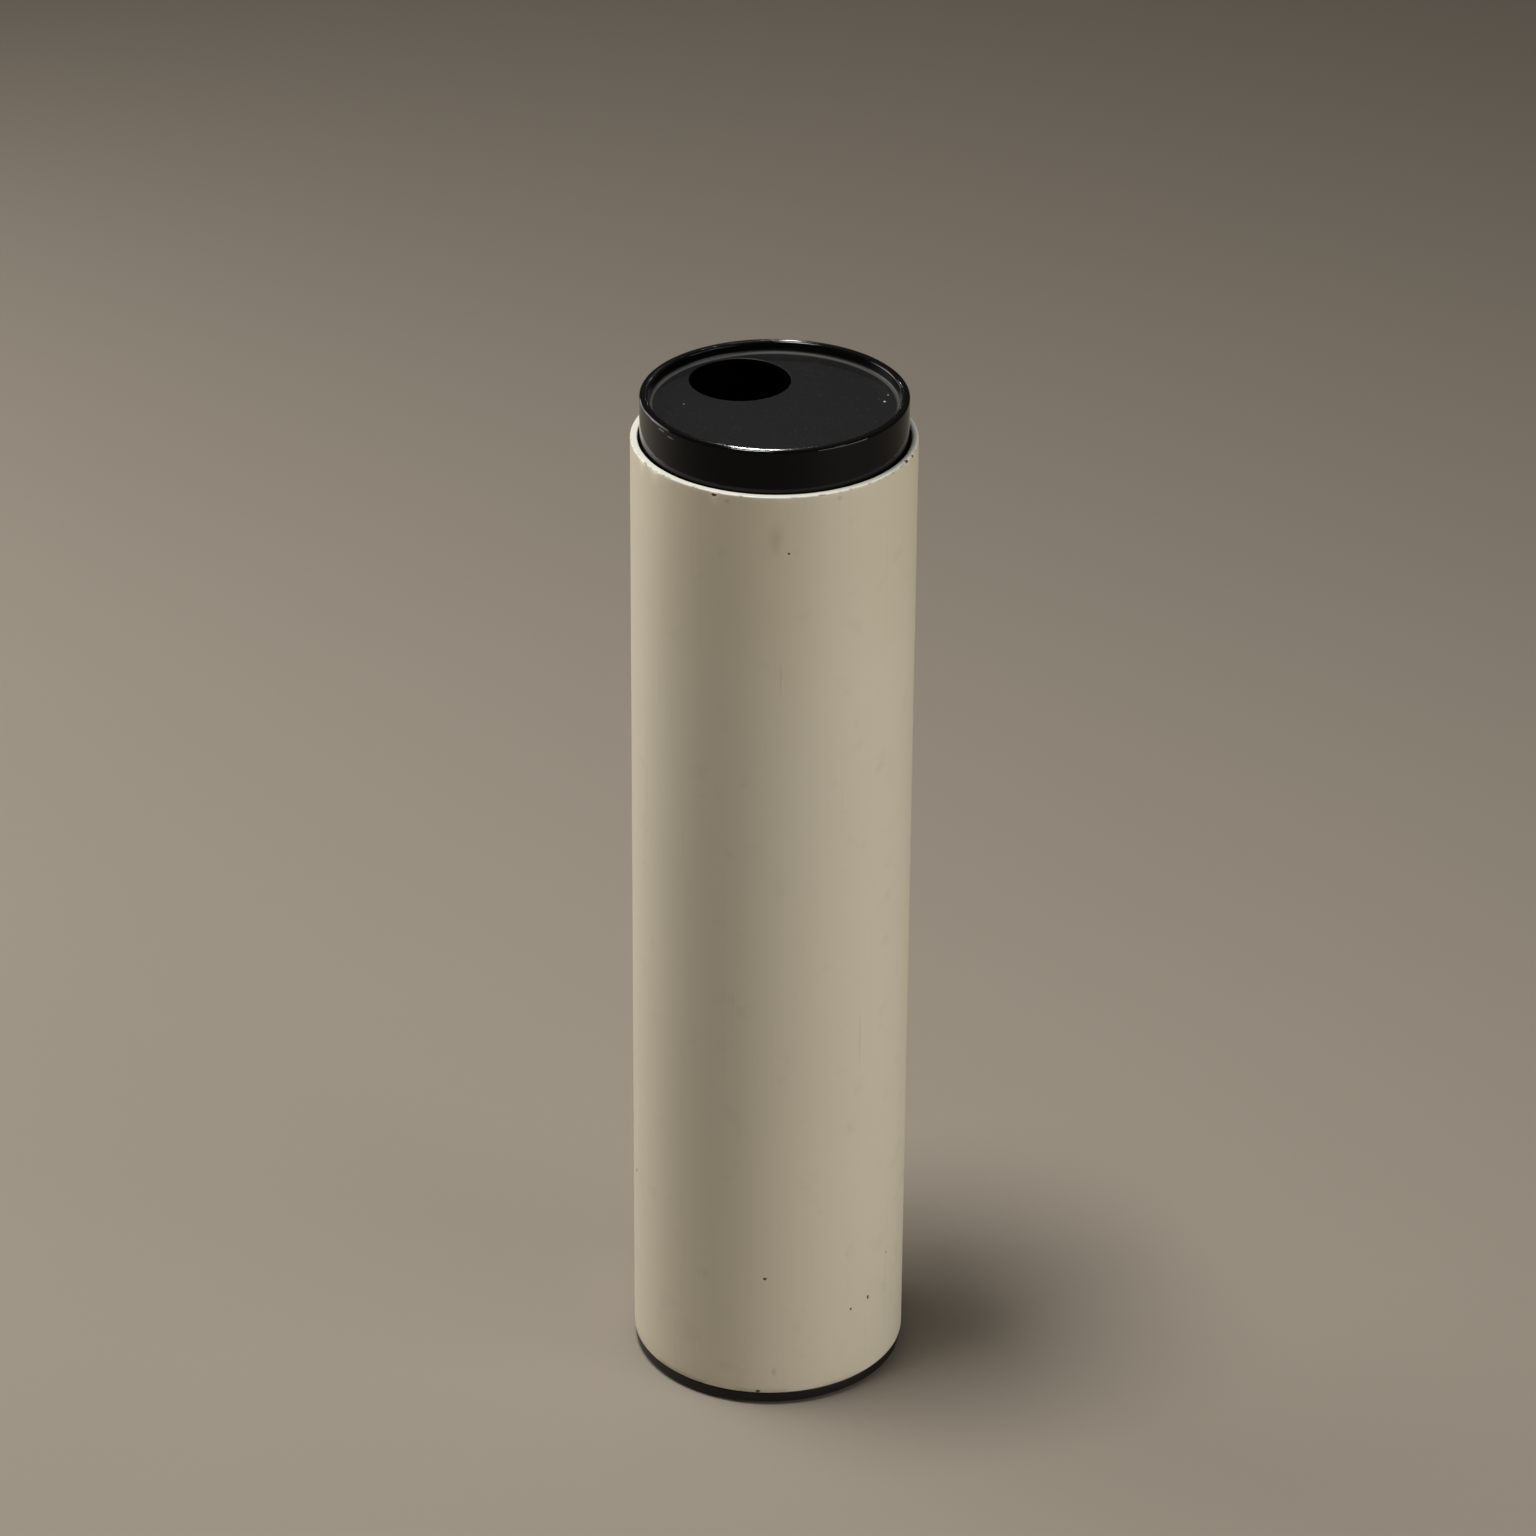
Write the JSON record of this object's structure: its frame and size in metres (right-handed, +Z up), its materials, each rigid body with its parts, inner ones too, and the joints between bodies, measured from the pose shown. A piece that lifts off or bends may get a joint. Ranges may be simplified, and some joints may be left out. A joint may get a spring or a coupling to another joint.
{
  "type": "floor ashtray",
  "caption": "Tall round floor-standing ashtray: lacquered tube, lift-off black dish cap with an off-centre drop hole, and an ash bucket with a bail inside.",
  "frame": {"origin": "centre of the base, on the floor under the foot pads", "axes": "+Z up along the tube's axis, +Y towards the cap's drop hole, +X towards the right-hand ear of the bucket"},
  "size_m": [0.16, 0.16, 0.6183],
  "materials": {
    "cream_lacquer": "satin cream lacquer, aged",
    "black_moulding": "moulded, low sheen",
    "pad_rubber": "matte",
    "cast_iron": "as cast",
    "zinc_steel": "zinc plated",
    "seat_plastic": "moulded",
    "gasket_rubber": "matte",
    "black_dish": "glossy moulded, worn dish floor",
    "galvanised_sheet": "galvanised",
    "plated_wire": "zinc plated"
  },
  "bodies": {
    "stand": {"body_tube": "cream_lacquer", "base_foot": "black_moulding", "foot_pad_1": "pad_rubber", "foot_pad_2": "pad_rubber", "foot_pad_3": "pad_rubber", "foot_pad_4": "pad_rubber", "ballast_weight": "cast_iron", "ballast_bolt": "zinc_steel", "ballast_washer": "zinc_steel", "ballast_nut": "zinc_steel", "cap_seat_ring": "seat_plastic"},
    "cap_carrier": {"cap_gasket": "gasket_rubber"},
    "cap": {"ash_cap": "black_dish"},
    "bucket": {"bucket_wall": "galvanised_sheet", "bucket_bottom": "galvanised_sheet", "bucket_ear_left": "galvanised_sheet", "bucket_ear_right": "galvanised_sheet", "ear_rivet_1": "plated_wire", "ear_rivet_2": "plated_wire", "ear_rivet_3": "plated_wire", "ear_rivet_4": "plated_wire"},
    "bail": {"bucket_bail": "plated_wire"}
  },
  "joints": [
    {"name": "cap_lift", "type": "slide", "parent": "stand", "child": "cap_carrier", "axis": [0, 0, 1], "range_m": [0, 0.7]},
    {"name": "cap_turn", "type": "hinge", "parent": "cap_carrier", "child": "cap", "pos_m": [0, 0, 0.6], "axis": [0, 0, 1], "continuous": true},
    {"name": "bucket_lift", "type": "slide", "parent": "stand", "child": "bucket", "axis": [0, 0, 1], "range_m": [0, 0.575]},
    {"name": "bail_swing", "type": "hinge", "parent": "bucket", "child": "bail", "pos_m": [0, 0, 0.5199], "axis": [-1, 0, 0], "range_deg": [0, 180]}
  ],
  "couplings": [
    {"joint": "cap_lift", "follows": "bucket_lift", "ratio": 1.2}
  ]
}
